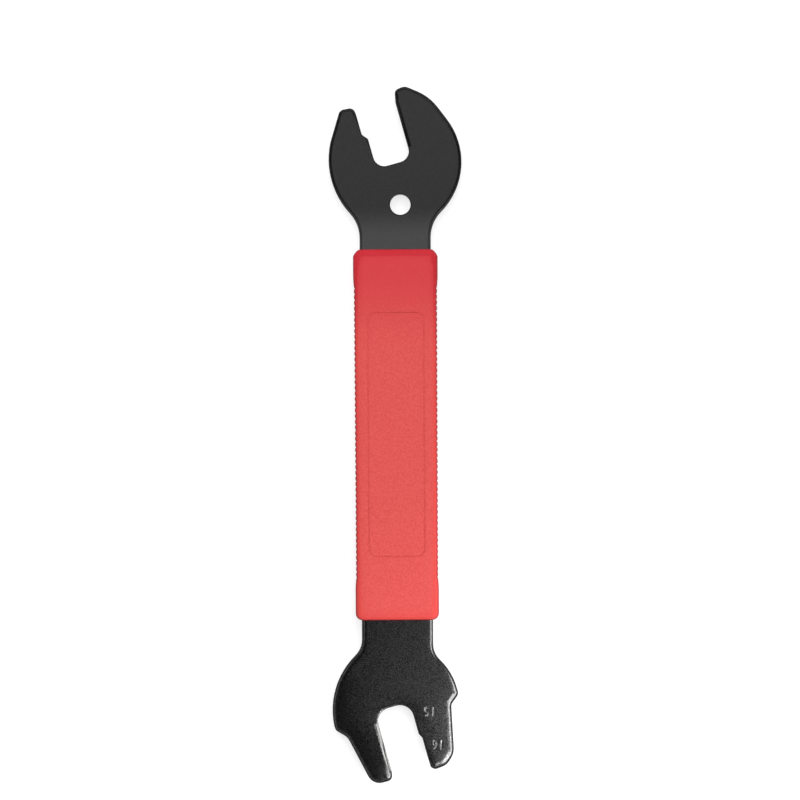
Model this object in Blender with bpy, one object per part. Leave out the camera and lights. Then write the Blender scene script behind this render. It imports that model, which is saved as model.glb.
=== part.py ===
"""Pedal wrench: a flat steel blade with a stepped open jaw at each end and a moulded red sleeve.

The wrench lies flat on the back of its sleeve. The long axis is Y, the width is X and +Z is up.
The origin is the middle of the sleeve's flat back face. Lengths are in metres.
"""
import math

import bmesh
import bpy
from mathutils import Vector

MM = 0.001

# Blade: one flat bar of hardened steel, with a rounded edge all round. The lower end is rounded
# more than the upper end, and the change lies inside the sleeve.
BLADE_THICKNESS = 5.5 * MM
SHANK_WIDTH = 29.4 * MM
UPPER_EDGE_ROUND = 1.5 * MM
LOWER_EDGE_ROUND = 2.2 * MM
EDGE_ROUND_STEPS = 5
EDGE_CHANGE_STEPS = 8
EDGE_BREAK = 0.4 * MM
JAW_ANGLE = math.radians(15.5)
BLADE_COLOR = (0.028, 0.027, 0.028, 1)
BLADE_ROUGHNESS = 0.42
BLADE_METALLIC = 0.3

# Prongs, below: each corner is (across the jaw, along the jaw, fillet), from the round edge to
# the tip. A tip's last corner, beside the jaw, is measured across from the flat there. An arc
# gap is how far the round edge ends before the prong's first corner, measured along the edge.

# Upper head: 15 mm flats at the bottom of the jaw, 17 mm flats at its mouth.
UPPER_NECK_LENGTH = 4.9 * MM
UPPER_CENTRE_OFFSET = 0.3 * MM
UPPER_DATUM_RADIUS = 29.1 * MM
UPPER_DATUM_REACH = 27.6 * MM
UPPER_DATUM_RISE = -0.4 * MM
UPPER_STEPPED_RADIUS = 32.8 * MM
UPPER_STEPPED_REACH = 27.3 * MM
UPPER_STEPPED_RISE = 0.7 * MM
UPPER_NECK_FILLET = 15.0 * MM
UPPER_JAW_SMALL = 15.0 * MM
UPPER_JAW_LARGE = 17.0 * MM
UPPER_STEP_START = 11.8 * MM
UPPER_STEP_LENGTH = 2.4 * MM
UPPER_JAW_FLOOR = -1.0 * MM
UPPER_FLOOR_RADIUS = 4.6 * MM
UPPER_DATUM_FLAT = 6.6 * MM
UPPER_DATUM_ARC_GAP = 10.9 * MM
UPPER_DATUM_PRONG = [(20.8 * MM, 21.9 * MM, 34.0 * MM), (12.0 * MM, 28.9 * MM, 4.0 * MM)]
UPPER_DATUM_TIP = (1.0 * MM, 28.2 * MM, 2.0 * MM)
UPPER_STEPPED_ARC_GAP = 13.2 * MM
UPPER_STEPPED_PRONG = [(-16.4 * MM, 26.5 * MM, 2.6 * MM)]
UPPER_STEPPED_TIP = (0.5 * MM, 26.0 * MM, 2.2 * MM)

# Lower head: 15 mm flats at the bottom of the jaw, 16 mm flats at its mouth.
LOWER_NECK_LENGTH = 8.2 * MM
LOWER_CENTRE_OFFSET = 1.1 * MM
LOWER_DATUM_RADIUS = 31.7 * MM
LOWER_DATUM_REACH = 27.0 * MM
LOWER_DATUM_RISE = 1.3 * MM
LOWER_STEPPED_RADIUS = 25.3 * MM
LOWER_STEPPED_REACH = 25.3 * MM
LOWER_STEPPED_RISE = -1.1 * MM
LOWER_NECK_FILLET = 9.0 * MM
LOWER_JAW_SMALL = 15.0 * MM
LOWER_JAW_LARGE = 16.0 * MM
LOWER_STEP_START = 13.2 * MM
LOWER_STEP_LENGTH = 2.0 * MM
LOWER_JAW_FLOOR = -0.5 * MM
LOWER_FLOOR_RADIUS = 5.8 * MM
LOWER_DATUM_FLAT = 8.7 * MM
LOWER_DATUM_ARC_GAP = 2.1 * MM
LOWER_DATUM_PRONG = [(26.3 * MM, 2.7 * MM, 2.5 * MM),
                     (22.4 * MM, 6.7 * MM, 5.5 * MM),
                     (17.7 * MM, 28.6 * MM, 9.0 * MM)]
LOWER_DATUM_TIP = (0.6 * MM, 28.8 * MM, 2.3 * MM)
LOWER_STEPPED_ARC_GAP = 2.3 * MM
LOWER_STEPPED_PRONG = [(-26.7 * MM, 2.0 * MM, 2.4 * MM),
                       (-22.5 * MM, 5.4 * MM, 2.5 * MM),
                       (-18.2 * MM, 25.0 * MM, 7.0 * MM),
                       (-14.0 * MM, 28.9 * MM, 6.0 * MM)]
LOWER_STEPPED_TIP = (0.3 * MM, 29.5 * MM, 2.3 * MM)

# Both jaws: the bevel milled along the straight flat, and the rough notch of the blank.
FLAT_BEVEL_WIDTH = 1.4 * MM
FLAT_BEVEL_DEPTH = 1.2 * MM
FLAT_BEVEL_START = 5.0 * MM
STEP_ROUND = 0.8 * MM
NOTCH_INSET = 3.0 * MM
NOTCH_HEIGHT = 9.0 * MM

# Hanging hole in the upper head.
HOLE_DIAMETER = 8.5 * MM
HOLE_SETBACK = 18.0 * MM
HOLE_OFFSET = 1.9 * MM
HOLE_SIDES = 40

# Sleeve: one moulding over the shank, ribbed along both sides.
SLEEVE_LENGTH = 152.8 * MM
SLEEVE_SIDE_WALL = 2.3 * MM
SLEEVE_FACE_WALL = 2.45 * MM
SLEEVE_TAPER = 0.6 * MM
SLEEVE_CORNER = 1.7 * MM
TOP_END_DROP = 1.2 * MM
TOP_END_LENGTH = 2.4 * MM
BOTTOM_END_DROP = 1.2 * MM
BOTTOM_END_LENGTH = 1.4 * MM
FIT_CLEARANCE = 0.3 * MM
RIB_PITCH = 2.335 * MM
RIB_DEPTH = 0.42 * MM
RIB_RECESS = 0.25 * MM
RIB_ZONE_TOP = 16.1 * MM
RIB_ZONE_BOTTOM = 17.6 * MM
RIB_RUN_OUT = 5.0 * MM
RUN_OUT_STEPS = 4
TOP_CORNER_LENGTH = 2.9 * MM
TOP_CORNER_INSET = 2.5 * MM
TOP_CORNER_FULLNESS = 1.35
BOTTOM_CORNER_LENGTH = 2.8 * MM
BOTTOM_CORNER_INSET = 2.7 * MM
BOTTOM_CORNER_FULLNESS = 2.0
CORNER_STEPS = 3
END_STEPS = 6
SLEEVE_COLOR = (0.78, 0.07, 0.09, 1)
SLEEVE_ROUGHNESS = 0.55

# A notch between two ribs: where its edge lies from its middle, as a share of the pitch, and how
# deep it is there, as a share of the full depth.
NOTCH_EDGE = 0.2
NOTCH_EDGE_DEPTH = 0.22

# Panel outline: a fine groove round the middle of the sleeve's front face.
PANEL_WIDTH = 23.0 * MM
PANEL_LENGTH = 100.3 * MM
PANEL_RADIUS = 3.1 * MM
PANEL_GROOVE_WIDTH = 0.5 * MM
PANEL_GROOVE_DEPTH = 0.25 * MM

# Cutters reach this far past the faces that they cut.
CUT_MARGIN = 2.0 * MM

# How close facets keep to an arc, how near to flat faces are joined, and what shades as an edge.
ARC_TOLERANCE = 0.03 * MM
FLAT_ANGLE = math.radians(0.1)
SHARP_ANGLE = math.radians(30)
CIRCLE = 2.0

SLEEVE_THICKNESS = BLADE_THICKNESS + 2 * (FIT_CLEARANCE + SLEEVE_FACE_WALL)
SLEEVE_HALF_WIDTH = SHANK_WIDTH / 2 + FIT_CLEARANCE + SLEEVE_SIDE_WALL
MID_HEIGHT = SLEEVE_THICKNESS / 2
BLADE_BOTTOM = MID_HEIGHT - BLADE_THICKNESS / 2
BLADE_TOP = MID_HEIGHT + BLADE_THICKNESS / 2


class Side:
    """One side of a head: an arc that bulges out to reach, then the corners of a prong.

    The sign is 1 for the side with the datum flat, on the right of the head's own frame. The arc
    joins the shank by a fillet, and ends arc_gap before the prong's first corner.
    """

    def __init__(self, sign, radius, reach, rise, neck_fillet, arc_gap, prong, tip):
        self.sign = sign
        self.radius = radius
        self.rise = rise
        self.neck_fillet = neck_fillet
        self.arc_gap = arc_gap
        self.prong = prong
        self.tip = tip
        self.centre_x = sign * (reach - radius)
        across = SHANK_WIDTH / 2 + neck_fillet - (reach - radius)
        self.neck_drop = math.sqrt((radius + neck_fillet) ** 2 - across ** 2) - rise


class Head:
    """One end of the blade, in its own frame: y runs out from the sleeve, x to the side.

    Jaw points are given across and along the jaw, from the head's centre, because the jaw is
    turned by JAW_ANGLE. The datum flat is the straight one, the other flat has the step.
    """

    def __init__(self, turned, neck_length, offset, datum_side, stepped_side, datum_flat,
                 small, large, step_start, step_length, floor, floor_radius):
        self.turned = turned
        self.datum_side = datum_side
        self.stepped_side = stepped_side
        self.datum = datum_flat
        self.small_flat = datum_flat - small
        self.large_flat = datum_flat - large
        self.step_start = step_start
        self.step_end = step_start + step_length
        self.floor = floor
        self.floor_radius = floor_radius
        corners = datum_side.prong + stepped_side.prong + [datum_side.tip, stepped_side.tip]
        self.past_tips = max(along for _, along, _ in corners) + CUT_MARGIN
        neck_drop = max(datum_side.neck_drop, stepped_side.neck_drop)
        self.centre = Vector((offset, SLEEVE_LENGTH / 2 + neck_length + neck_drop))

    def jaw_point(self, across, along):
        """A point of the jaw in the head's frame."""
        side = Vector((math.cos(JAW_ANGLE), math.sin(JAW_ANGLE)))
        out = Vector((-math.sin(JAW_ANGLE), math.cos(JAW_ANGLE)))
        return self.centre + side * across + out * along

    def in_blade(self, points):
        """Points of the head's frame in the blade's frame."""
        sign = -1 if self.turned else 1
        return [Vector((sign * point.x, sign * point.y)) for point in points]


UPPER_HEAD = Head(
    False, UPPER_NECK_LENGTH, UPPER_CENTRE_OFFSET,
    Side(1, UPPER_DATUM_RADIUS, UPPER_DATUM_REACH, UPPER_DATUM_RISE, UPPER_NECK_FILLET,
         UPPER_DATUM_ARC_GAP, UPPER_DATUM_PRONG, UPPER_DATUM_TIP),
    Side(-1, UPPER_STEPPED_RADIUS, UPPER_STEPPED_REACH, UPPER_STEPPED_RISE, UPPER_NECK_FILLET,
         UPPER_STEPPED_ARC_GAP, UPPER_STEPPED_PRONG, UPPER_STEPPED_TIP),
    UPPER_DATUM_FLAT, UPPER_JAW_SMALL, UPPER_JAW_LARGE, UPPER_STEP_START, UPPER_STEP_LENGTH,
    UPPER_JAW_FLOOR, UPPER_FLOOR_RADIUS)
LOWER_HEAD = Head(
    True, LOWER_NECK_LENGTH, LOWER_CENTRE_OFFSET,
    Side(1, LOWER_DATUM_RADIUS, LOWER_DATUM_REACH, LOWER_DATUM_RISE, LOWER_NECK_FILLET,
         LOWER_DATUM_ARC_GAP, LOWER_DATUM_PRONG, LOWER_DATUM_TIP),
    Side(-1, LOWER_STEPPED_RADIUS, LOWER_STEPPED_REACH, LOWER_STEPPED_RISE, LOWER_NECK_FILLET,
         LOWER_STEPPED_ARC_GAP, LOWER_STEPPED_PRONG, LOWER_STEPPED_TIP),
    LOWER_DATUM_FLAT, LOWER_JAW_SMALL, LOWER_JAW_LARGE, LOWER_STEP_START, LOWER_STEP_LENGTH,
    LOWER_JAW_FLOOR, LOWER_FLOOR_RADIUS)


def clear_scene():
    """Remove every object that the file opened with."""
    for item in list(bpy.data.objects):
        bpy.data.objects.remove(item)


def arc(centre, radius, start, end):
    """Points along an arc, close enough together to stay within ARC_TOLERANCE of it."""
    step = 2 * math.acos(1 - ARC_TOLERANCE / max(radius, 2 * ARC_TOLERANCE))
    count = max(2, math.ceil(abs(end - start) / step))
    points = []
    for index in range(count + 1):
        angle = start + (end - start) * index / count
        points.append(centre + Vector((math.cos(angle), math.sin(angle))) * radius)
    return points


def fillet(before, corner, after, radius, room):
    """The arc that rounds one corner of an outline, kept within room of the corner."""
    toward = (before - corner).normalized()
    onward = (after - corner).normalized()
    half_angle = toward.angle(onward) / 2
    setback = min(radius / math.tan(half_angle), room)
    radius = setback * math.tan(half_angle)
    middle = (toward + onward).normalized()
    centre = corner + middle * radius / math.sin(half_angle)
    first = corner + toward * setback - centre
    last = corner + onward * setback - centre
    start = math.atan2(first.y, first.x)
    turn = math.atan2(last.y, last.x) - start
    turn = (turn + math.pi) % (2 * math.pi) - math.pi
    return arc(centre, radius, start, start + turn)


def rounded(corners):
    """A closed outline from (point, radius) corners. A radius of 0 keeps the point as it is.

    A fillet takes up to nearly all of an edge, or half of one that it shares with a fillet.
    """
    points = []
    for index, (corner, radius) in enumerate(corners):
        if radius == 0:
            points.append(corner)
            continue
        rooms = []
        for neighbour, neighbour_radius in (corners[index - 1], corners[(index + 1) % len(corners)]):
            share = 0.49 if neighbour_radius else 0.95
            rooms.append((neighbour - corner).length * share)
        before = corners[index - 1][0]
        after = corners[(index + 1) % len(corners)][0]
        points.extend(fillet(before, corner, after, radius, min(rooms)))
    return points


def offset(outline, distance):
    """A closed outline, run anticlockwise, moved outwards by a distance."""
    moved = []
    for index, point in enumerate(outline):
        edge_in = (point - outline[index - 1]).normalized()
        edge_out = (outline[(index + 1) % len(outline)] - point).normalized()
        normal_in = Vector((edge_in.y, -edge_in.x))
        normal_out = Vector((edge_out.y, -edge_out.x))
        shift = (normal_in + normal_out) / (1 + normal_in.dot(normal_out))
        moved.append(point + shift * distance)
    return moved


def loft(name, rings):
    """A closed solid through rings of 3D points, all with the same count."""
    bm = bmesh.new()
    loops = [[bm.verts.new(point) for point in ring] for ring in rings]
    for low, high in zip(loops, loops[1:]):
        for index in range(len(low)):
            after = (index + 1) % len(low)
            bm.faces.new((low[index], low[after], high[after], high[index]))
    bm.faces.new(reversed(loops[0]))
    bm.faces.new(loops[-1])
    bmesh.ops.recalc_face_normals(bm, faces=bm.faces)
    mesh = bpy.data.meshes.new(name)
    bm.to_mesh(mesh)
    bm.free()
    item = bpy.data.objects.new(name, mesh)
    bpy.context.scene.collection.objects.link(item)
    return item


def prism(name, layers):
    """A closed solid from (height, outline) layers, bottom first."""
    rings = [[(point.x, point.y, height) for point in outline] for height, outline in layers]
    return loft(name, rings)


def cut(target, cutter):
    """Take the cutter out of the target."""
    cutter.hide_render = True
    cutter.display_type = "WIRE"
    modifier = target.modifiers.new(cutter.name, "BOOLEAN")
    modifier.operation = "DIFFERENCE"
    modifier.solver = "EXACT"
    modifier.object = cutter


def finish(item, color, roughness, metallic):
    """Give a sub-part its material and smooth shading."""
    material = bpy.data.materials.new(item.name)
    material.use_nodes = True
    shader = material.node_tree.nodes["Principled BSDF"]
    shader.inputs["Base Color"].default_value = color
    shader.inputs["Roughness"].default_value = roughness
    shader.inputs["Metallic"].default_value = metallic
    item.data.materials.append(material)
    item.data.shade_smooth()
    item.data.set_sharp_from_angle(angle=SHARP_ANGLE)


def side_corners(head, side):
    """One side of a head from the shank to the jaw: neck fillet, round edge and prong."""
    centre = Vector((side.centre_x, head.centre.y + side.rise))
    neck_start = head.centre.y - side.neck_drop
    neck = Vector((side.sign * (SHANK_WIDTH / 2 + side.neck_fillet), neck_start))
    joint = neck - centre
    joint_angle = math.atan2(joint.y, side.sign * joint.x)
    across, along, radius = side.prong[0]
    corner = head.jaw_point(across, along) - centre
    end_angle = math.atan2(corner.y, side.sign * corner.x) - side.arc_gap / side.radius
    fillet_arc = arc(neck, side.neck_fillet, math.pi, math.pi + joint_angle)
    round_arc = arc(centre, side.radius, joint_angle, end_angle)
    if side.sign < 0:
        fillet_arc = [Vector((2 * neck.x - point.x, point.y)) for point in fillet_arc]
        round_arc = [Vector((2 * centre.x - point.x, point.y)) for point in round_arc]
    corners = [(point, 0) for point in fillet_arc + round_arc[1:]]
    for across, along, radius in side.prong:
        corners.append((head.jaw_point(across, along), radius))
    flat = head.datum if side.sign > 0 else head.large_flat
    across, along, radius = side.tip
    corners.append((head.jaw_point(flat + side.sign * across, along), radius))
    return corners


def head_outline(head):
    """One end of the blank, anticlockwise from the right side of the neck to the left side."""
    right = side_corners(head, head.datum_side)
    left = side_corners(head, head.stepped_side)
    notch_floor = head.floor + NOTCH_HEIGHT
    notch = [(head.jaw_point(head.datum - NOTCH_INSET, notch_floor), 0),
             (head.jaw_point(head.large_flat + NOTCH_INSET, notch_floor), 0)]
    return head.in_blade(rounded(right + notch + left[::-1]))


def jaw_cutter(head, name):
    """The slot of one jaw, with its step and with the edges broken at both faces."""
    corners = [(head.jaw_point(head.datum, head.past_tips), 0),
               (head.jaw_point(head.large_flat, head.past_tips), 0),
               (head.jaw_point(head.large_flat, head.step_end), STEP_ROUND),
               (head.jaw_point(head.small_flat, head.step_start), STEP_ROUND),
               (head.jaw_point(head.small_flat, head.floor), head.floor_radius),
               (head.jaw_point(head.datum, head.floor), head.floor_radius)]
    outline = head.in_blade(rounded(corners))
    wide = offset(outline, EDGE_BREAK)
    layers = [(BLADE_BOTTOM - CUT_MARGIN, wide),
              (BLADE_BOTTOM, wide),
              (BLADE_BOTTOM + EDGE_BREAK, outline),
              (BLADE_TOP - EDGE_BREAK, outline),
              (BLADE_TOP, wide),
              (BLADE_TOP + CUT_MARGIN, wide)]
    return prism(name, layers)


def bevel_cutter(head, face, name):
    """The bevel along the datum flat, at the blade's top face (1) or its bottom face (-1).

    Its slope runs on past the face and past the flat, one bevel's size each way.
    """
    height = MID_HEIGHT + face * BLADE_THICKNESS / 2
    slope = [(head.datum - FLAT_BEVEL_WIDTH, height - face * 2 * FLAT_BEVEL_DEPTH),
             (head.datum + 2 * FLAT_BEVEL_WIDTH, height + face * FLAT_BEVEL_DEPTH),
             (head.datum - FLAT_BEVEL_WIDTH, height + face * FLAT_BEVEL_DEPTH)]
    rings = []
    for along in (FLAT_BEVEL_START + head.floor, head.past_tips):
        sections = [head.in_blade([head.jaw_point(across, along)])[0] for across, _ in slope]
        heights = [level for _, level in slope]
        rings.append([(spot.x, spot.y, level) for spot, level in zip(sections, heights)])
    return loft(name, rings)


def hole_cutter():
    """The hanging hole, with its edges broken at both faces."""
    spot = UPPER_HEAD.centre + Vector((HOLE_OFFSET, -HOLE_SETBACK))
    outline = []
    for index in range(HOLE_SIDES):
        angle = 2 * math.pi * index / HOLE_SIDES
        outline.append(spot + Vector((math.cos(angle), math.sin(angle))) * HOLE_DIAMETER / 2)
    wide = offset(outline, EDGE_BREAK)
    layers = [(BLADE_BOTTOM - CUT_MARGIN, wide),
              (BLADE_BOTTOM, wide),
              (BLADE_BOTTOM + EDGE_BREAK, outline),
              (BLADE_TOP - EDGE_BREAK, outline),
              (BLADE_TOP, wide),
              (BLADE_TOP + CUT_MARGIN, wide)]
    return prism("hole_cutter", layers)


def edge_round(y):
    """How far the blade's edges are rounded at y."""
    share = ease(y / SLEEVE_LENGTH + 0.5)
    return LOWER_EDGE_ROUND + (UPPER_EDGE_ROUND - LOWER_EDGE_ROUND) * share


def shank_side(side):
    """Points along one side of the shank inside the sleeve, on the way round the outline."""
    points = []
    for index in range(EDGE_CHANGE_STEPS + 1):
        y = side * SLEEVE_LENGTH * (index / EDGE_CHANGE_STEPS - 0.5)
        points.append(Vector((side * SHANK_WIDTH / 2, y)))
    return points


def round_edges(blade):
    """Round the edges of the blank at both faces, each edge by its own share of the most."""
    most = max(UPPER_EDGE_ROUND, LOWER_EDGE_ROUND)
    shares = blade.data.attributes.new("bevel_weight_edge", "FLOAT", "EDGE")
    for edge in blade.data.edges:
        first, second = [blade.data.vertices[index].co for index in edge.vertices]
        if first.z == second.z:
            shares.data[edge.index].value = edge_round((first.y + second.y) / 2) / most
    edges = blade.modifiers.new("rounded_edges", "BEVEL")
    edges.width = most
    edges.segments = EDGE_ROUND_STEPS
    edges.limit_method = "WEIGHT"


def make_blade():
    """The steel blade: a blank with rounded edges, then its jaws and hanging hole."""
    outline = head_outline(UPPER_HEAD) + shank_side(-1) + head_outline(LOWER_HEAD) + shank_side(1)
    blade = prism("blade", [(BLADE_BOTTOM, outline), (BLADE_TOP, outline)])
    round_edges(blade)
    for head, name in ((UPPER_HEAD, "upper"), (LOWER_HEAD, "lower")):
        cut(blade, jaw_cutter(head, name + "_jaw_cutter"))
        cut(blade, bevel_cutter(head, 1, name + "_front_bevel_cutter"))
        cut(blade, bevel_cutter(head, -1, name + "_back_bevel_cutter"))
    cut(blade, hole_cutter())
    finish(blade, BLADE_COLOR, BLADE_ROUGHNESS, BLADE_METALLIC)


def corner_inset(from_end, length, inset, fullness):
    """How far a corner of the sleeve draws in at a distance from the sleeve's end.

    A fullness of CIRCLE gives a quarter of an ellipse, less gives a flatter corner.
    """
    if from_end >= length:
        return 0.0
    share = 1 - from_end / length
    return inset * (1 - (1 - share ** fullness) ** (1 / fullness))


def ease(value):
    """A smooth step from 0 to 1."""
    value = min(max(value, 0.0), 1.0)
    return value * value * (3 - 2 * value)


def rib_stations():
    """Where the ribbed sides need a section: (y, depth of the notch as a share)."""
    top = SLEEVE_LENGTH / 2 - RIB_ZONE_TOP
    bottom = -SLEEVE_LENGTH / 2 + RIB_ZONE_BOTTOM
    count = round((top - bottom) / RIB_PITCH)
    pitch = (top - bottom) / count
    stations = [(bottom - pitch / 2, 0.0)]
    for index in range(count + 1):
        notch = bottom + index * pitch
        stations.append((notch - NOTCH_EDGE * pitch, NOTCH_EDGE_DEPTH))
        stations.append((notch, 1.0))
        stations.append((notch + NOTCH_EDGE * pitch, NOTCH_EDGE_DEPTH))
        stations.append((notch + pitch / 2, 0.0))
    return stations


def smooth_stations():
    """Where the plain ends of the sleeve need a section."""
    half = SLEEVE_LENGTH / 2
    stations = []
    for end, sign, zone in ((half, -1, RIB_ZONE_TOP), (-half, 1, RIB_ZONE_BOTTOM)):
        length = TOP_CORNER_LENGTH if sign < 0 else BOTTOM_CORNER_LENGTH
        for index in range(END_STEPS + 1):
            angle = index / END_STEPS * math.pi / 2
            stations.append((end + sign * length * (1 - math.cos(angle)), 0.0))
        for index in range(RUN_OUT_STEPS):
            from_zone = RIB_RUN_OUT * (1 - index / RUN_OUT_STEPS)
            stations.append((end + sign * (zone - from_zone), 0.0))
    return stations


def sleeve_half_width(y, notch):
    """Half the sleeve's width at y, with the taper, the recess of the ribs and their notches."""
    half = SLEEVE_LENGTH / 2
    taper = SLEEVE_TAPER * y / half / 4
    from_top = half - y
    from_bottom = half + y
    recess_top = ease((from_top - RIB_ZONE_TOP + RIB_RUN_OUT) / RIB_RUN_OUT)
    recess_bottom = ease((from_bottom - RIB_ZONE_BOTTOM + RIB_RUN_OUT) / RIB_RUN_OUT)
    recess = RIB_RECESS * recess_top * recess_bottom
    corner = corner_inset(from_top, TOP_CORNER_LENGTH, TOP_CORNER_INSET, TOP_CORNER_FULLNESS)
    corner += corner_inset(from_bottom, BOTTOM_CORNER_LENGTH, BOTTOM_CORNER_INSET,
                           BOTTOM_CORNER_FULLNESS)
    return SLEEVE_HALF_WIDTH + taper - recess - corner - RIB_DEPTH * notch


def sleeve_section(y, notch):
    """The ring of points of the sleeve's section at y, rounded at its four long edges."""
    half = SLEEVE_LENGTH / 2
    drop = corner_inset(half - y, TOP_END_LENGTH, TOP_END_DROP, CIRCLE)
    drop += corner_inset(half + y, BOTTOM_END_LENGTH, BOTTOM_END_DROP, CIRCLE)
    outer = sleeve_half_width(y, notch)
    flat = min(SLEEVE_HALF_WIDTH, sleeve_half_width(y, 0.0)) - SLEEVE_CORNER
    low = drop
    high = SLEEVE_THICKNESS - drop
    reach = SLEEVE_CORNER * (1 - drop / SLEEVE_THICKNESS)
    points = []
    for quarter, (sign, level) in enumerate(((1, high), (-1, high), (-1, low), (1, low))):
        centre_z = level - reach if level == high else level + reach
        for index in range(CORNER_STEPS + 1):
            angle = (quarter + index / CORNER_STEPS) * math.pi / 2
            x = sign * flat + (outer - flat) * math.cos(angle)
            points.append((x, y, centre_z + reach * math.sin(angle)))
    return points


def slot_cutter():
    """The slot through the sleeve: the shank's section plus the fit clearance."""
    half_width = SHANK_WIDTH / 2 + FIT_CLEARANCE
    half_height = BLADE_THICKNESS / 2 + FIT_CLEARANCE
    reach = SLEEVE_LENGTH / 2 + CUT_MARGIN
    rings = []
    for y in [-reach] + [point.y for point in shank_side(1)] + [reach]:
        radius = edge_round(y)
        ring = []
        for quarter, (x, z) in enumerate(((1, 1), (-1, 1), (-1, -1), (1, -1))):
            centre_x = x * (half_width - radius)
            centre_z = MID_HEIGHT + z * (half_height - radius)
            for index in range(EDGE_ROUND_STEPS + 1):
                angle = (quarter + index / EDGE_ROUND_STEPS) * math.pi / 2
                ring.append((centre_x + radius * math.cos(angle), y,
                             centre_z + radius * math.sin(angle)))
        rings.append(ring)
    return loft("slot_cutter", rings)


def panel_outline(grow):
    """The panel's rounded rectangle, grown on every side."""
    corners = []
    for x, y in ((1, 1), (-1, 1), (-1, -1), (1, -1)):
        spot = Vector((x * (PANEL_WIDTH / 2 + grow), y * (PANEL_LENGTH / 2 + grow)))
        corners.append((spot, PANEL_RADIUS + grow))
    return rounded(corners)


def panel_cutter():
    """A thin frame that cuts the panel's groove into the sleeve's front face."""
    outer = panel_outline(PANEL_GROOVE_WIDTH / 2)
    inner = panel_outline(-PANEL_GROOVE_WIDTH / 2)
    low = SLEEVE_THICKNESS - PANEL_GROOVE_DEPTH
    high = SLEEVE_THICKNESS + CUT_MARGIN
    frame = prism("panel_cutter", [(low, outer), (high, outer)])
    core = prism("panel_core_cutter", [(low - CUT_MARGIN, inner), (high + CUT_MARGIN, inner)])
    cut(frame, core)
    return frame


def make_sleeve():
    """The red sleeve: sections lofted from end to end, then the blade's slot and the panel."""
    stations = sorted(rib_stations() + smooth_stations())
    rings = [sleeve_section(y, notch) for y, notch in stations]
    sleeve = loft("sleeve", rings)
    bm = bmesh.new()
    bm.from_mesh(sleeve.data)
    bmesh.ops.dissolve_limit(bm, angle_limit=FLAT_ANGLE, verts=bm.verts, edges=bm.edges)
    bm.to_mesh(sleeve.data)
    bm.free()
    cut(sleeve, slot_cutter())
    cut(sleeve, panel_cutter())
    finish(sleeve, SLEEVE_COLOR, SLEEVE_ROUGHNESS, 0.0)


clear_scene()
make_blade()
make_sleeve()
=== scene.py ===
"""Looks of the pedal wrench: a black-coated flat steel blade in a ribbed red moulded sleeve."""
import math

import bmesh
import bpy
from mathutils import Matrix, Vector
from mathutils.bvhtree import BVHTree
from mathutils.kdtree import KDTree


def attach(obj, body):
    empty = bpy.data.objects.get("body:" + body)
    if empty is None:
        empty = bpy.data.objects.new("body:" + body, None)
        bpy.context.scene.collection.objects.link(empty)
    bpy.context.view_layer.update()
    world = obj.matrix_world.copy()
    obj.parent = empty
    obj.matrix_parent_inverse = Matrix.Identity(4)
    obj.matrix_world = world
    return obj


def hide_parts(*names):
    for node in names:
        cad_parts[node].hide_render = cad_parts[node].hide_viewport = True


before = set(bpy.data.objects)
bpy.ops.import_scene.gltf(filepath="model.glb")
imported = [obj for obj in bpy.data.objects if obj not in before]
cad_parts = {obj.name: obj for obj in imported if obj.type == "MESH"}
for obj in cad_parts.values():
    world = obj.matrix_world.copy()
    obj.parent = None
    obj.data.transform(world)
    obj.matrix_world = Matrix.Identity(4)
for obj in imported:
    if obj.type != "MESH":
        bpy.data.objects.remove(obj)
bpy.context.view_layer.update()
MM = 0.001


# Camera. It looks straight down on the wrench, as the photograph does, from far enough away that
# the two ends stay true to size. The wrench lies almost upright in the picture, so the camera is
# turned by a third of a degree.
PICTURE_SIZE = 800
PIXELS_PER_MM = 2.42
CAMERA_LENS = 150.0
CAMERA_SENSOR = 36.0
CAMERA_REACH = 20.0
CAMERA_TURN = math.radians(-0.34)
CAMERA_AIM = Vector((1.61, 14.29, 5.5)) * MM
view_width = PICTURE_SIZE / PIXELS_PER_MM * MM
camera_data = bpy.data.cameras.new("camera")
camera_data.lens = CAMERA_LENS
camera_data.sensor_width = CAMERA_SENSOR
camera_data.clip_end = CAMERA_REACH
camera = bpy.data.objects.new("camera", camera_data)
camera.location = CAMERA_AIM + Vector((0, 0, view_width * CAMERA_LENS / CAMERA_SENSOR))
camera.rotation_euler = (0, 0, CAMERA_TURN)
bpy.context.scene.collection.objects.link(camera)
bpy.context.scene.camera = camera


# Floor. A plain white table that the wrench lies on, with its soft shadow. The room round it has
# white walls and a dark ceiling, which the flat faces of the wrench mirror.
def principled(material):
    """The Principled shader of a material."""
    return material.node_tree.nodes["Principled BSDF"]


def new_material(name, color, roughness, metallic=0.0):
    """A material with one Principled shader, its even values set on the shader itself."""
    material = bpy.data.materials.new(name)
    material.use_nodes = True
    shader = principled(material)
    shader.inputs["Base Color"].default_value = (*color, 1)
    shader.inputs["Roughness"].default_value = roughness
    shader.inputs["Metallic"].default_value = metallic
    return material


def add_piece(name, bm, *materials):
    """Turn a bmesh into an object with its materials, and link it."""
    mesh = bpy.data.meshes.new(name)
    bm.to_mesh(mesh)
    bm.free()
    for material in materials:
        mesh.materials.append(material)
    piece = bpy.data.objects.new(name, mesh)
    bpy.context.scene.collection.objects.link(piece)
    return piece


FLOOR_HALF_SIZE = 3.0
FLOOR_COLOR = (0.42, 0.42, 0.42)
FLOOR_ROUGHNESS = 0.9
FLOOR_GLOW = 0.72
WHITE = (1, 1, 1, 1)
floor_material = new_material("white_table", FLOOR_COLOR, FLOOR_ROUGHNESS)
floor_shader = principled(floor_material)
floor_shader.inputs["Specular IOR Level"].default_value = 0.0
floor_shader.inputs["Emission Color"].default_value = WHITE
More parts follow.
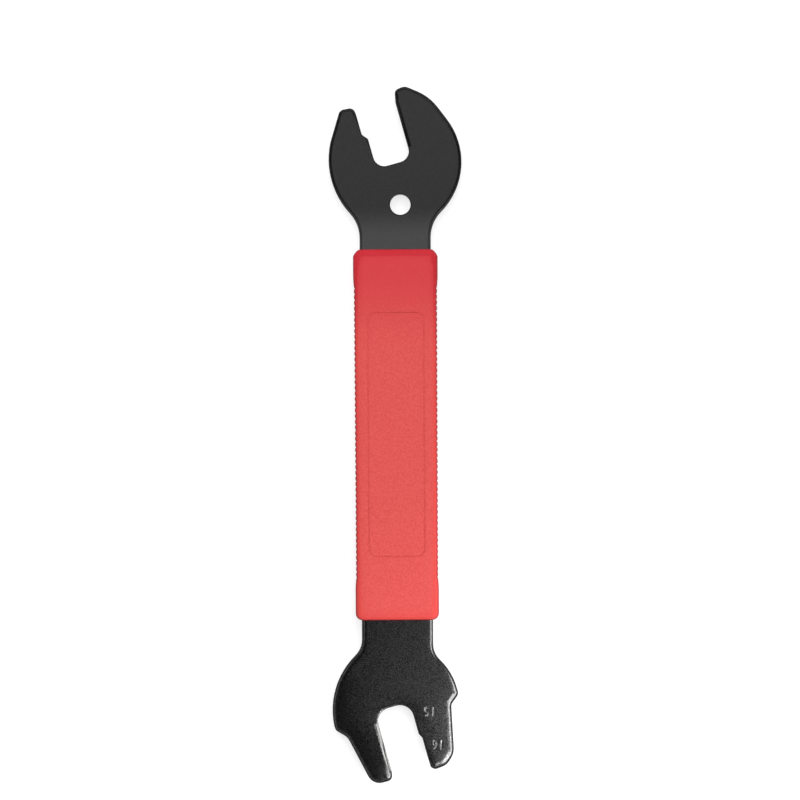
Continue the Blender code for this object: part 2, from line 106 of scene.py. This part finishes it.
# The table glows only for the camera, mirrors and glass, so its glow puts no light on the wrench.
nodes = floor_material.node_tree.nodes
links = floor_material.node_tree.links
ray = nodes.new("ShaderNodeLightPath")
seen = ray.outputs["Is Camera Ray"]
for kind in ("Is Glossy Ray", "Is Transmission Ray"):
    either = nodes.new("ShaderNodeMath")
    either.operation = "ADD"
    either.use_clamp = True
    links.new(seen, either.inputs[0])
    links.new(ray.outputs[kind], either.inputs[1])
    seen = either.outputs[0]
glow = nodes.new("ShaderNodeMath")
glow.operation = "MULTIPLY"
glow.inputs[1].default_value = FLOOR_GLOW
links.new(seen, glow.inputs[0])
links.new(glow.outputs[0], floor_shader.inputs["Emission Strength"])
bm = bmesh.new()
bmesh.ops.create_grid(bm, x_segments=1, y_segments=1, size=FLOOR_HALF_SIZE)
floor = add_piece("floor", bm, floor_material)

WALL_STRENGTH = 1.0
CEILING_STRENGTH = 0.008
WALL_TOP = 0.12
CEILING_EDGE = 0.42
world = bpy.data.worlds.new("studio")
bpy.context.scene.world = world
world.use_nodes = True
nodes = world.node_tree.nodes
links = world.node_tree.links
backdrop = nodes["Background"]
backdrop.inputs["Color"].default_value = WHITE
direction = nodes.new("ShaderNodeTexCoord")
height = nodes.new("ShaderNodeSeparateXYZ")
ceiling = nodes.new("ShaderNodeMapRange")
ceiling.interpolation_type = "SMOOTHSTEP"
ceiling.inputs["From Min"].default_value = WALL_TOP
ceiling.inputs["From Max"].default_value = CEILING_EDGE
ceiling.inputs["To Min"].default_value = WALL_STRENGTH
ceiling.inputs["To Max"].default_value = CEILING_STRENGTH
links.new(direction.outputs["Generated"], height.inputs[0])
links.new(height.outputs["Z"], ceiling.inputs["Value"])
links.new(ceiling.outputs["Result"], backdrop.inputs["Strength"])


# Lamps. A small box and a long strip, low on the right, put the bright lines along the edges of
# the lower head, and a panel above them shades its face from dark to grey. A wide panel lights the
# upper head evenly, between two black flags that keep its edges dark. The overhead fill lights the
# sleeve and the table. Brightness is given against white, which is 1, and spread in degrees.
def add_softbox(name, size, place, aim, brightness, spread=180.0):
    """An area lamp of a width and length in metres, at a place, pointing at its aim."""
    width, length = size
    lamp_data = bpy.data.lights.new(name, "AREA")
    lamp_data.shape = "RECTANGLE"
    lamp_data.size = width
    lamp_data.size_y = length
    lamp_data.energy = brightness * math.pi * width * length
    lamp_data.spread = math.radians(spread)
    lamp = bpy.data.objects.new(name, lamp_data)
    lamp.location = place
    lamp.rotation_euler = (Vector(aim) - Vector(place)).to_track_quat("-Z", "Y").to_euler()
    lamp.visible_camera = False
    bpy.context.scene.collection.objects.link(lamp)
    return lamp


add_softbox("key_box", size=(0.06, 0.06), place=(0.07, -0.185, 0.07),
            aim=(0.018, -0.133, 0), brightness=0.93, spread=54.0)
add_softbox("right_panel", size=(0.06, 0.15), place=(0.077, -0.1, 0.118),
            aim=(0.048, -0.1, 0), brightness=0.104, spread=90.0)
add_softbox("low_strip", size=(0.19, 0.036), place=(0.15, -0.13, 0.068),
            aim=(0.01, -0.1, 0), brightness=2.3, spread=84.0)
add_softbox("upper_panel", size=(0.5, 0.26), place=(0.0, 0.19, 0.3),
            aim=(0.0, 0.17, 0), brightness=0.044, spread=70.0)
fill = add_softbox("overhead_fill", size=(1.2, 1.2), place=(0.0, 0.45, 1.1),
                   aim=(0.0, 0.0, 0), brightness=3.6)
fill.visible_glossy = False

FLAG_PLACE = 0.19
FLAG_HEIGHT = 0.12
FLAG_RANGE = (0.03, 0.25)
FLAG_COLOR = (0.005, 0.005, 0.005)
FLAG_ROUGHNESS = 1.0
HALF_UNIT = 0.5
flag_material = new_material("black_flag", FLAG_COLOR, FLAG_ROUGHNESS)
principled(flag_material).inputs["Specular IOR Level"].default_value = 0.0
for name, side in (("left_flag", -1), ("right_flag", 1)):
    bm = bmesh.new()
    bmesh.ops.create_grid(bm, x_segments=1, y_segments=1, size=HALF_UNIT)
    size = (FLAG_HEIGHT, FLAG_RANGE[1] - FLAG_RANGE[0], 1)
    bmesh.ops.scale(bm, verts=bm.verts, vec=size)
    bmesh.ops.rotate(bm, verts=bm.verts, matrix=Matrix.Rotation(math.pi / 2, 3, "Y"))
    place = (side * FLAG_PLACE, sum(FLAG_RANGE) / 2, FLAG_HEIGHT / 2)
    bmesh.ops.translate(bm, verts=bm.verts, vec=place)
    flag = add_piece(name, bm, flag_material)
    flag.visible_camera = False
    flag.visible_diffuse = False
    flag.visible_shadow = False


# Blade. One bar of flat steel with an open jaw at each end, stamped out, tumbled until its edges
# are round, and coated black. Its shank runs through the sleeve. The straight side of each jaw
# has a milled bevel, bare in the lower one, whose sizes are stamped beside its steps.
MERGE_DISTANCE = 0.001 * MM
FLAT_ANGLE = math.radians(0.2)
SHARP_ANGLE = math.radians(32)
FLAT_NORMAL = 0.999
BREAK_NORMALS = (0.6, 0.74)

JAW_ANGLE = math.radians(15.5)
ACROSS_JAW = Vector((math.cos(JAW_ANGLE), math.sin(JAW_ANGLE), 0))
MILLED_LEAN = 0.651
MILLED_RISE = 0.759
MILLED_TOLERANCE = 0.01
MILLED_INDEX = 1

GRID_SPACING = 0.7 * MM
FALL_START = -84.0 * MM
FALL_FULL = -99.0 * MM
PILLOW_DEPTH = 0.5 * MM
PILLOW_WIDTH = 12.0 * MM
RIM_DEPTH = 0.56 * MM
RIM_WIDTH = 6.5 * MM
RIM_LEVEL = 0.25
JAW_DEPTH = 0.28 * MM
JAW_WIDTH = 6.0 * MM
SAMPLE_SPACING = 0.2 * MM
SMOOTHINGS = 12
SMOOTHING_FACTOR = 0.5

STAMPS = {"15": (13.1 * MM, -114.4 * MM), "16": (16.15 * MM, -128.15 * MM)}
STAMP_WIDTH = 4.2 * MM
STAMP_HEIGHT = 4.0 * MM
STAMP_DEPTH = 0.12 * MM
STAMP_TAPER = 0.2 * MM
STAMP_EDGE = 0.05 * MM
STAMP_REACH = 1.0 * MM
STAMP_WEIGHT = 0.02
STAMP_CURVE_STEPS = 4
STAMP_INDEX = 2
STAMP_FLOOR_NORMAL = 0.9
RAW_DIGIT_DEPTH = 0.5
RAW_DIGIT_MERGE = 1e-5
ABOVE_BLADE = 1.0


def joined_bmesh(node):
    """A bmesh of a frame node, its loose triangles joined and its flat faces made whole."""
    bm = bmesh.new()
    bm.from_mesh(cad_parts[node].data)
    bmesh.ops.remove_doubles(bm, verts=bm.verts, dist=MERGE_DISTANCE)
    bmesh.ops.dissolve_limit(bm, angle_limit=FLAT_ANGLE, verts=bm.verts, edges=bm.edges)
    return bm


def extent(bm):
    """The lowest and the highest corner of a bmesh."""
    low = Vector([min(vert.co[axis] for vert in bm.verts) for axis in range(3)])
    high = Vector([max(vert.co[axis] for vert in bm.verts) for axis in range(3)])
    return low, high


def shade_smooth(piece):
    """Smooth shading with crisp edges, and with flat faces that stay flat."""
    piece.data.shade_smooth()
    piece.data.set_sharp_from_angle(angle=SHARP_ANGLE)
    normals = piece.modifiers.new("face_normals", "WEIGHTED_NORMAL")
    normals.keep_sharp = True


def is_milled(face):
    """Whether a face is one of the two long bevels of the lower jaw."""
    if face.calc_center_median().y > 0:
        return False
    off_lean = abs(abs(face.normal.dot(ACROSS_JAW)) - MILLED_LEAN)
    off_rise = abs(abs(face.normal.z) - MILLED_RISE)
    return off_lean < MILLED_TOLERANCE and off_rise < MILLED_TOLERANCE


def is_flat(face):
    """Whether a face is part of the flat front or back."""
    return abs(face.normal.z) > FLAT_NORMAL


def is_break(face):
    """Whether a face is part of the broken edge round a jaw."""
    return BREAK_NORMALS[0] < abs(face.normal.z) < BREAK_NORMALS[1]


def sampled(edges):
    """A finder of the nearest point, seen from the front, along some edges."""
    samples = []
    for edge in edges:
        start, end = edge.verts[0].co, edge.verts[1].co
        count = max(1, round((end - start).length / SAMPLE_SPACING))
        samples += [start + (end - start) * step / count for step in range(count + 1)]
    finder = KDTree(len(samples))
    for index, sample in enumerate(samples):
        finder.insert((sample.x, sample.y, 0), index)
    finder.balance()
    return finder


def rim_and_jaw(bm, middle, front):
    """The edges along the outside of the lower head, and those round its jaw."""
    rim = []
    jaw = []
    for edge in bm.edges:
        start, end = edge.verts[0].co, edge.verts[1].co
        if max(start.y, end.y) > FALL_START or abs(start.z - end.z) > MERGE_DISTANCE:
            continue
        level = abs(start.z - middle) / (front - middle)
        if level < RIM_LEVEL:
            rim.append(edge)
        if any(map(is_flat, edge.link_faces)) and any(map(is_break, edge.link_faces)):
            jaw.append(edge)
    return rim, jaw


def cut_grid(bm, low, high):
    """Cut the two flat faces of the lower head into small squares, so that they can bend."""
    bmesh.ops.bisect_plane(bm, geom=[*bm.verts, *bm.edges, *bm.faces], plane_co=high,
                           plane_no=(0, 1, 0))
    faces = [face for face in bm.faces
             if is_flat(face) and face.calc_center_median().y < FALL_START]
    edges = {edge for face in faces for edge in face.edges}
    corners = {vert for face in faces for vert in face.verts}
    geom = [*corners, *edges, *faces]
    for axis, direction in ((0, (1, 0, 0)), (1, (0, 1, 0))):
        for step in range(1, math.ceil((high[axis] - low[axis]) / GRID_SPACING)):
            place = low.copy()
            place[axis] += step * GRID_SPACING
            cut = bmesh.ops.bisect_plane(bm, geom=geom, plane_co=place, plane_no=direction)
            geom = cut["geom"]


def crown_lower_head(bm):
    """Let the two faces of the lower head fall a little towards the rim and the jaw."""
    low, high = extent(bm)
    front = high.z
    middle = (front + low.z) / 2
    rim, jaw = rim_and_jaw(bm, middle, front)
    outside = sampled(rim)
    falls = [(outside, PILLOW_DEPTH, PILLOW_WIDTH), (outside, RIM_DEPTH, RIM_WIDTH),
             (sampled(jaw), JAW_DEPTH, JAW_WIDTH)]
    high.y = FALL_START
    cut_grid(bm, low, high)
    inner = [vert for vert in bm.verts
             if vert.co.y < FALL_START and all(map(is_flat, vert.link_faces))]
    for vert in bm.verts:
        onward = min(max((FALL_START - vert.co.y) / (FALL_START - FALL_FULL), 0), 1)
        ease = onward * onward * (3 - 2 * onward)
        fall = 0
        for finder, depth, width in falls:
            inward = finder.find((vert.co.x, vert.co.y, 0))[2] / width
            fall += depth * max(1 - inward, 0) ** 2
        vert.co.z = middle + (vert.co.z - middle) * (1 - ease * fall / (front - middle))
    for _ in range(SMOOTHINGS):
        bmesh.ops.smooth_vert(bm, verts=inner, factor=SMOOTHING_FACTOR, use_axis_z=True)


def stamp_cutter(text, place, tilt):
    """The digits of one stamp as a solid that reaches into the front face, read from the tip."""
    curve = bpy.data.curves.new(text, "FONT")
    curve.body = text
    curve.extrude = RAW_DIGIT_DEPTH
    curve.offset = STAMP_WEIGHT
    curve.resolution_u = STAMP_CURVE_STEPS
    digits = bpy.data.objects.new(text, curve)
    bpy.context.scene.collection.objects.link(digits)
    mesh = bpy.data.meshes.new_from_object(digits)
    bpy.data.objects.remove(digits)
    bm = bmesh.new()
    bm.from_mesh(mesh)
    bmesh.ops.remove_doubles(bm, verts=bm.verts, dist=RAW_DIGIT_MERGE)
    low, high = extent(bm)
    bmesh.ops.translate(bm, verts=bm.verts, vec=-(low + high) / 2)
    size = high - low
    depth = STAMP_EDGE + STAMP_REACH
    scale = Vector((STAMP_WIDTH / size.x, STAMP_HEIGHT / size.y, depth / size.z))
    bmesh.ops.scale(bm, verts=bm.verts, vec=scale)
    bmesh.ops.rotate(bm, verts=bm.verts, matrix=Matrix.Rotation(math.pi, 3, "Z"))
    bmesh.ops.translate(bm, verts=bm.verts, vec=(0, 0, (STAMP_REACH - STAMP_EDGE) / 2))
    bmesh.ops.rotate(bm, verts=bm.verts, matrix=tilt)
    bmesh.ops.translate(bm, verts=bm.verts, vec=place)
    for face in bm.faces:
        face.material_index = STAMP_INDEX
    return add_piece("stamp_" + text, bm, coating, milled, stamped)


def cut_away(piece, cutters):
    """Take the cutters out of the piece for good, and remove them."""
    for cutter in cutters:
        modifier = piece.modifiers.new(cutter.name, "BOOLEAN")
        modifier.operation = "DIFFERENCE"
        modifier.solver = "EXACT"
        modifier.object = cutter
    depsgraph = bpy.context.evaluated_depsgraph_get()
    mesh = bpy.data.meshes.new_from_object(piece.evaluated_get(depsgraph))
    piece.modifiers.clear()
    piece.data = mesh
    for cutter in cutters:
        bpy.data.objects.remove(cutter)


def deepen_stamps(piece):
    """Sink the floor of each shallow cut and draw it in, so that its walls slant."""
    bm = bmesh.new()
    bm.from_mesh(piece.data)
    floors = [face for face in bm.faces
              if face.material_index == STAMP_INDEX and face.normal.z > STAMP_FLOOR_NORMAL]
    bmesh.ops.inset_region(bm, faces=floors, thickness=STAMP_TAPER, depth=-STAMP_DEPTH)
    bm.to_mesh(piece.data)
    bm.free()


def link(material, output, node, socket):
    """Join an output socket to a node's input."""
    material.node_tree.links.new(output, node.inputs[socket])


def object_place(material):
    """The output that gives each point's place on the object, in metres."""
    return material.node_tree.nodes.new("ShaderNodeTexCoord").outputs["Object"]


def along_wrench(material, place):
    """The output that gives each point's place along the wrench, in metres."""
    parts = material.node_tree.nodes.new("ShaderNodeSeparateXYZ")
    link(material, place, parts, 0)
    return parts.outputs["Y"]


def tilt_away(material):
    """The output that grows from 0, for a face seen straight on, to 1, for one seen edge on."""
    return material.node_tree.nodes.new("ShaderNodeLayerWeight").outputs["Facing"]


def noise(material, place, size, detail=2.0):
    """A noise whose blotches are about the given size."""
    node = material.node_tree.nodes.new("ShaderNodeTexNoise")
    node.inputs["Scale"].default_value = 1 / size
    node.inputs["Detail"].default_value = detail
    link(material, place, node, "Vector")
    return node.outputs["Fac"]


def span(material, value, reach, target=(0, 1)):
    """A value taken from one range to another, smoothly, and kept within it."""
    node = material.node_tree.nodes.new("ShaderNodeMapRange")
    node.interpolation_type = "SMOOTHSTEP"
    node.inputs["From Min"].default_value, node.inputs["From Max"].default_value = reach
    node.inputs["To Min"].default_value, node.inputs["To Max"].default_value = target
    link(material, value, node, "Value")
    return node.outputs["Result"]


def blend(material, share, first, second):
    """A colour between two, by a share. Each is a colour or an output."""
    node = material.node_tree.nodes.new("ShaderNodeMix")
    node.data_type = "RGBA"
    link(material, share, node, "Factor")
    color_sockets = [socket for socket in node.inputs if socket.type == "RGBA"]
    for socket, color in zip(color_sockets, (first, second)):
        if isinstance(color, tuple):
            socket.default_value = (*color, 1)
        else:
            material.node_tree.links.new(color, socket)
    return next(socket for socket in node.outputs if socket.type == "RGBA")


def combined(material, operation, *values):
    """What a Math node makes of some outputs."""
    node = material.node_tree.nodes.new("ShaderNodeMath")
    node.operation = operation
    for socket, value in enumerate(values):
        link(material, value, node, socket)
    return node.outputs[0]


def product(material, first, second):
    """Two values multiplied."""
    return combined(material, "MULTIPLY", first, second)


def varied(material, value, change):
    """A value made greater or smaller by a changing share of itself."""
    return combined(material, "MULTIPLY_ADD", value, change, value)


def bump(material, height, depth, below=None):
    """A relief of the given depth, laid over another one if there is one."""
    node = material.node_tree.nodes.new("ShaderNodeBump")
    node.inputs["Strength"].default_value = 1.0
    node.inputs["Distance"].default_value = depth
    link(material, height, node, "Height")
    if below:
        link(material, below, node, "Normal")
    return node.outputs["Normal"]


# The coat is smooth at the upper head and grainy at the lower one, where the grain also breaks up
# its sheen. Beside the sleeve's upper end it is painted greyer, a painted sheen, and its sheen
# fades on steep edges.
COATING_DARK = (0.0015, 0.0014, 0.0015)
COATING_LIGHT = (0.0065, 0.0063, 0.0065)
COATING_PAINTED_SHEEN = (0.036, 0.0355, 0.037)
PAINTED_SHEEN_FROM_HOLE = (95 * MM, 80 * MM)
PAINTED_SHEEN_IN_SLEEVE = (0 * MM, 40 * MM)
GRAIN_SIZE = 0.44 * MM
GRAIN_DEPTH = 0.12 * MM
PEEL_SIZE = 2.2 * MM
PEEL_DEPTH = 0.045 * MM
SMOOTH_TO_COARSE = (60 * MM, -60 * MM)
COARSENESS = (0.15, 1)
FLAT_TO_SLOPING = (0.001, 0.015)
SLOPING_COARSENESS = (1.0, 0.3)
FINE_DETAIL = 3.0
NOISE_RANGE = (0.3, 0.7)
TONE_RANGE = (0.35, 0.65)
COATING_ROUGHNESS = (0.28, 0.34)
COATING_IOR = 2.3
ROUND_TO_STEEP = (0.13, 0.35)
COATING_SHINE = (0.5, 0.02)
SPARKLE = (-0.66, 0.66)
BASE_ROUGHNESS = 0.4
coating = new_material("black_coating", COATING_DARK, BASE_ROUGHNESS)
place = object_place(coating)
along = along_wrench(coating, place)
fine = noise(coating, place, GRAIN_SIZE, FINE_DETAIL)
peel = noise(coating, place, PEEL_SIZE)
# The share of a painted sheen, which makes the coat greyer beside the sleeve's upper end.
painted_sheen = product(coating, span(coating, along, PAINTED_SHEEN_FROM_HOLE),
                 span(coating, along, PAINTED_SHEEN_IN_SLEEVE))
coarse_end = span(coating, along, SMOOTH_TO_COARSE, COARSENESS)
facing = tilt_away(coating)
coarse = product(coating, coarse_end,
                 span(coating, facing, FLAT_TO_SLOPING, SLOPING_COARSENESS))
tone = blend(coating, span(coating, fine, TONE_RANGE), COATING_DARK, COATING_LIGHT)
tone = blend(coating, painted_sheen, tone, COATING_PAINTED_SHEEN)
shader = principled(coating)
link(coating, tone, shader, "Base Color")
link(coating, span(coating, fine, NOISE_RANGE, COATING_ROUGHNESS), shader, "Roughness")
relief = bump(coating, product(coating, peel, coarse), PEEL_DEPTH)
relief = bump(coating, product(coating, fine, coarse), GRAIN_DEPTH, relief)
link(coating, relief, shader, "Normal")
shader.inputs["IOR"].default_value = COATING_IOR
shine = span(coating, facing, ROUND_TO_STEEP, COATING_SHINE)
sparkle = product(coating, span(coating, fine, NOISE_RANGE, SPARKLE), coarse_end)
link(coating, varied(coating, shine, sparkle), shader, "Specular IOR Level")

# The bare bevel shows the cutter's fine scores, which run along the jaw.
MILLED_DARK = (0.015, 0.015, 0.015)
MILLED_LIGHT = (0.34, 0.335, 0.33)
MILLED_ROUGHNESS = 0.38
METAL = 1.0
STRIPE_WIDTH = 0.38 * MM
STRIPE_LENGTH = 14.0 * MM
STRIPE_DEPTH = 0.1 * MM
STRIPE_DETAIL = 1.0
STRIPE_RANGE = (0.43, 0.55)
milled = new_material("milled_bevel", MILLED_LIGHT, MILLED_ROUGHNESS, METAL)
along_jaw = milled.node_tree.nodes.new("ShaderNodeMapping")
along_jaw.vector_type = "TEXTURE"
along_jaw.inputs["Rotation"].default_value = (0, 0, JAW_ANGLE)
along_jaw.inputs["Scale"].default_value = (STRIPE_WIDTH, STRIPE_LENGTH, STRIPE_WIDTH)
link(milled, object_place(milled), along_jaw, "Vector")
stripes = noise(milled, along_jaw.outputs["Vector"], 1.0, STRIPE_DETAIL)
tone = blend(milled, span(milled, stripes, STRIPE_RANGE), MILLED_DARK, MILLED_LIGHT)
link(milled, tone, principled(milled), "Base Color")
link(milled, bump(milled, stripes, STRIPE_DEPTH), principled(milled), "Normal")

# The struck grooves of the numbers are painted lighter than the coat, a painted highlight on them.
STAMPED_HIGHLIGHT_COLOR = (0.05, 0.0495, 0.049)
STAMPED_ROUGHNESS = (0.3, 0.4)
STAMPED_IOR = 3.0
stamped = new_material("stamped_number", STAMPED_HIGHLIGHT_COLOR, BASE_ROUGHNESS)
fine = noise(stamped, object_place(stamped), GRAIN_SIZE)
link(stamped, span(stamped, fine, NOISE_RANGE, STAMPED_ROUGHNESS), principled(stamped),
     "Roughness")
principled(stamped).inputs["IOR"].default_value = STAMPED_IOR

# The two indices stand for the second and third material that the blade is given.
bm = joined_bmesh("blade")
for face in bm.faces:
    if is_milled(face):
        face.material_index = MILLED_INDEX
crown_lower_head(bm)
surface = BVHTree.FromBMesh(bm)
cutters = []
for text, place in STAMPS.items():
    struck, upward = surface.ray_cast((*place, ABOVE_BLADE), (0, 0, -1))[:2]
    tilt = Vector((0, 0, 1)).rotation_difference(upward).to_matrix()
    cutters.append(stamp_cutter(text, struck, tilt))
blade = add_piece("steel_blade", bm, coating, milled, stamped)
cut_away(blade, cutters)
deepen_stamps(blade)
shade_smooth(blade)
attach(blade, "root")
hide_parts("blade")


# Sleeve. A red moulding pressed over the shank, with fine ribs along both sides for grip, a front
# that falls a little towards its sides and ends, and a skin that the mould left finely mottled.
SIDE_FALL_START = 12.4 * MM
SIDE_FALL_DEPTH = 0.55 * MM
END_FALL_LENGTH = 7.0 * MM
TOP_FALL_DEPTH = 0.5 * MM
BOTTOM_FALL_DEPTH = 0.2 * MM
CUT_SPACING = 1.2 * MM
CUTS = 4


def crown_sleeve(bm):
    """Let the front of the sleeve fall a little towards its sides and ends."""
    half_width, half_length, height = extent(bm)[1]
    starts = (SIDE_FALL_START, half_length - END_FALL_LENGTH)
    ends = (half_width, half_length)
    for axis, direction in ((0, (1, 0, 0)), (1, (0, 1, 0))):
        for step in range(CUTS):
            for side in (-1, 1):
                place = Vector()
                place[axis] = side * (starts[axis] + step * CUT_SPACING)
                geom = [*bm.verts, *bm.edges, *bm.faces]
                bmesh.ops.bisect_plane(bm, geom=geom, plane_co=place, plane_no=direction)
    bmesh.ops.dissolve_degenerate(bm, dist=MERGE_DISTANCE, edges=bm.edges)
    for vert in bm.verts:
        fall = 0
        end_depth = TOP_FALL_DEPTH if vert.co.y > 0 else BOTTOM_FALL_DEPTH
        for axis, depth in ((0, SIDE_FALL_DEPTH), (1, end_depth)):
            past = max(abs(vert.co[axis]) - starts[axis], 0) / (ends[axis] - starts[axis])
            fall += depth * past ** 2
        vert.co.z *= 1 - fall / height


# The red is mottled between a deep and a pale tone. Painted shade makes it deeper towards the
# hanging hole, and deeper again where the front slopes and on the steep sides.
SLEEVE_DEEP = (0.725, 0.075, 0.07)
SLEEVE_PALE = (0.785, 0.102, 0.092)
SLEEVE_TOP_SHADE = (0.68, 0.042, 0.05)
SLEEVE_SLOPE_SHADE = (0.78, 0.077, 0.069)
SLEEVE_TOP_SLOPE_SHADE = (0.59, 0.027, 0.039)
SLEEVE_STEEP_SHADE = (0.45, 0.02, 0.03)
TOP_SHADE_REACH = (30 * MM, 70 * MM)
SLOPE_RANGE = (0.0005, 0.016)
STEEP_RANGE = (0.2, 0.6)
SLEEVE_SHINE = (0.5, 0.18)
SLEEVE_ROUGHNESS = (0.48, 0.62)
MOULDING_ROUGHNESS = 0.55
MOTTLE_SIZE = 0.7 * MM
MOTTLE_DEPTH = 0.09 * MM
SKIN_SIZE = 0.45 * MM
SKIN_DEPTH = 0.06 * MM
moulding = new_material("red_moulding", SLEEVE_PALE, MOULDING_ROUGHNESS)
place = object_place(moulding)
mottle = noise(moulding, place, MOTTLE_SIZE, FINE_DETAIL)
skin = noise(moulding, place, SKIN_SIZE)
tone = blend(moulding, span(moulding, mottle, TONE_RANGE), SLEEVE_DEEP, SLEEVE_PALE)
# Painted shade: the red is painted deeper towards the hanging hole.
top_shade_share = span(moulding, along_wrench(moulding, place), TOP_SHADE_REACH)
tone = blend(moulding, top_shade_share, tone, SLEEVE_TOP_SHADE)
facing = tilt_away(moulding)
# Painted shade: the red is painted deeper where the front slopes and on the steep sides.
slope_shade = blend(moulding, top_shade_share, SLEEVE_SLOPE_SHADE, SLEEVE_TOP_SLOPE_SHADE)
tone = blend(moulding, span(moulding, facing, SLOPE_RANGE), tone, slope_shade)
tone = blend(moulding, span(moulding, facing, STEEP_RANGE), tone, SLEEVE_STEEP_SHADE)
shader = principled(moulding)
link(moulding, tone, shader, "Base Color")
shine = span(moulding, facing, SLOPE_RANGE, SLEEVE_SHINE)
link(moulding, shine, shader, "Specular IOR Level")
link(moulding, span(moulding, skin, NOISE_RANGE, SLEEVE_ROUGHNESS), shader, "Roughness")
relief = bump(moulding, mottle, MOTTLE_DEPTH)
link(moulding, bump(moulding, skin, SKIN_DEPTH, relief), shader, "Normal")

bm = joined_bmesh("sleeve")
crown_sleeve(bm)
sleeve = add_piece("grip_sleeve", bm, moulding)
shade_smooth(sleeve)
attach(sleeve, "root")
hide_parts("sleeve")

view = bpy.context.scene.view_settings
view.view_transform = "Standard"
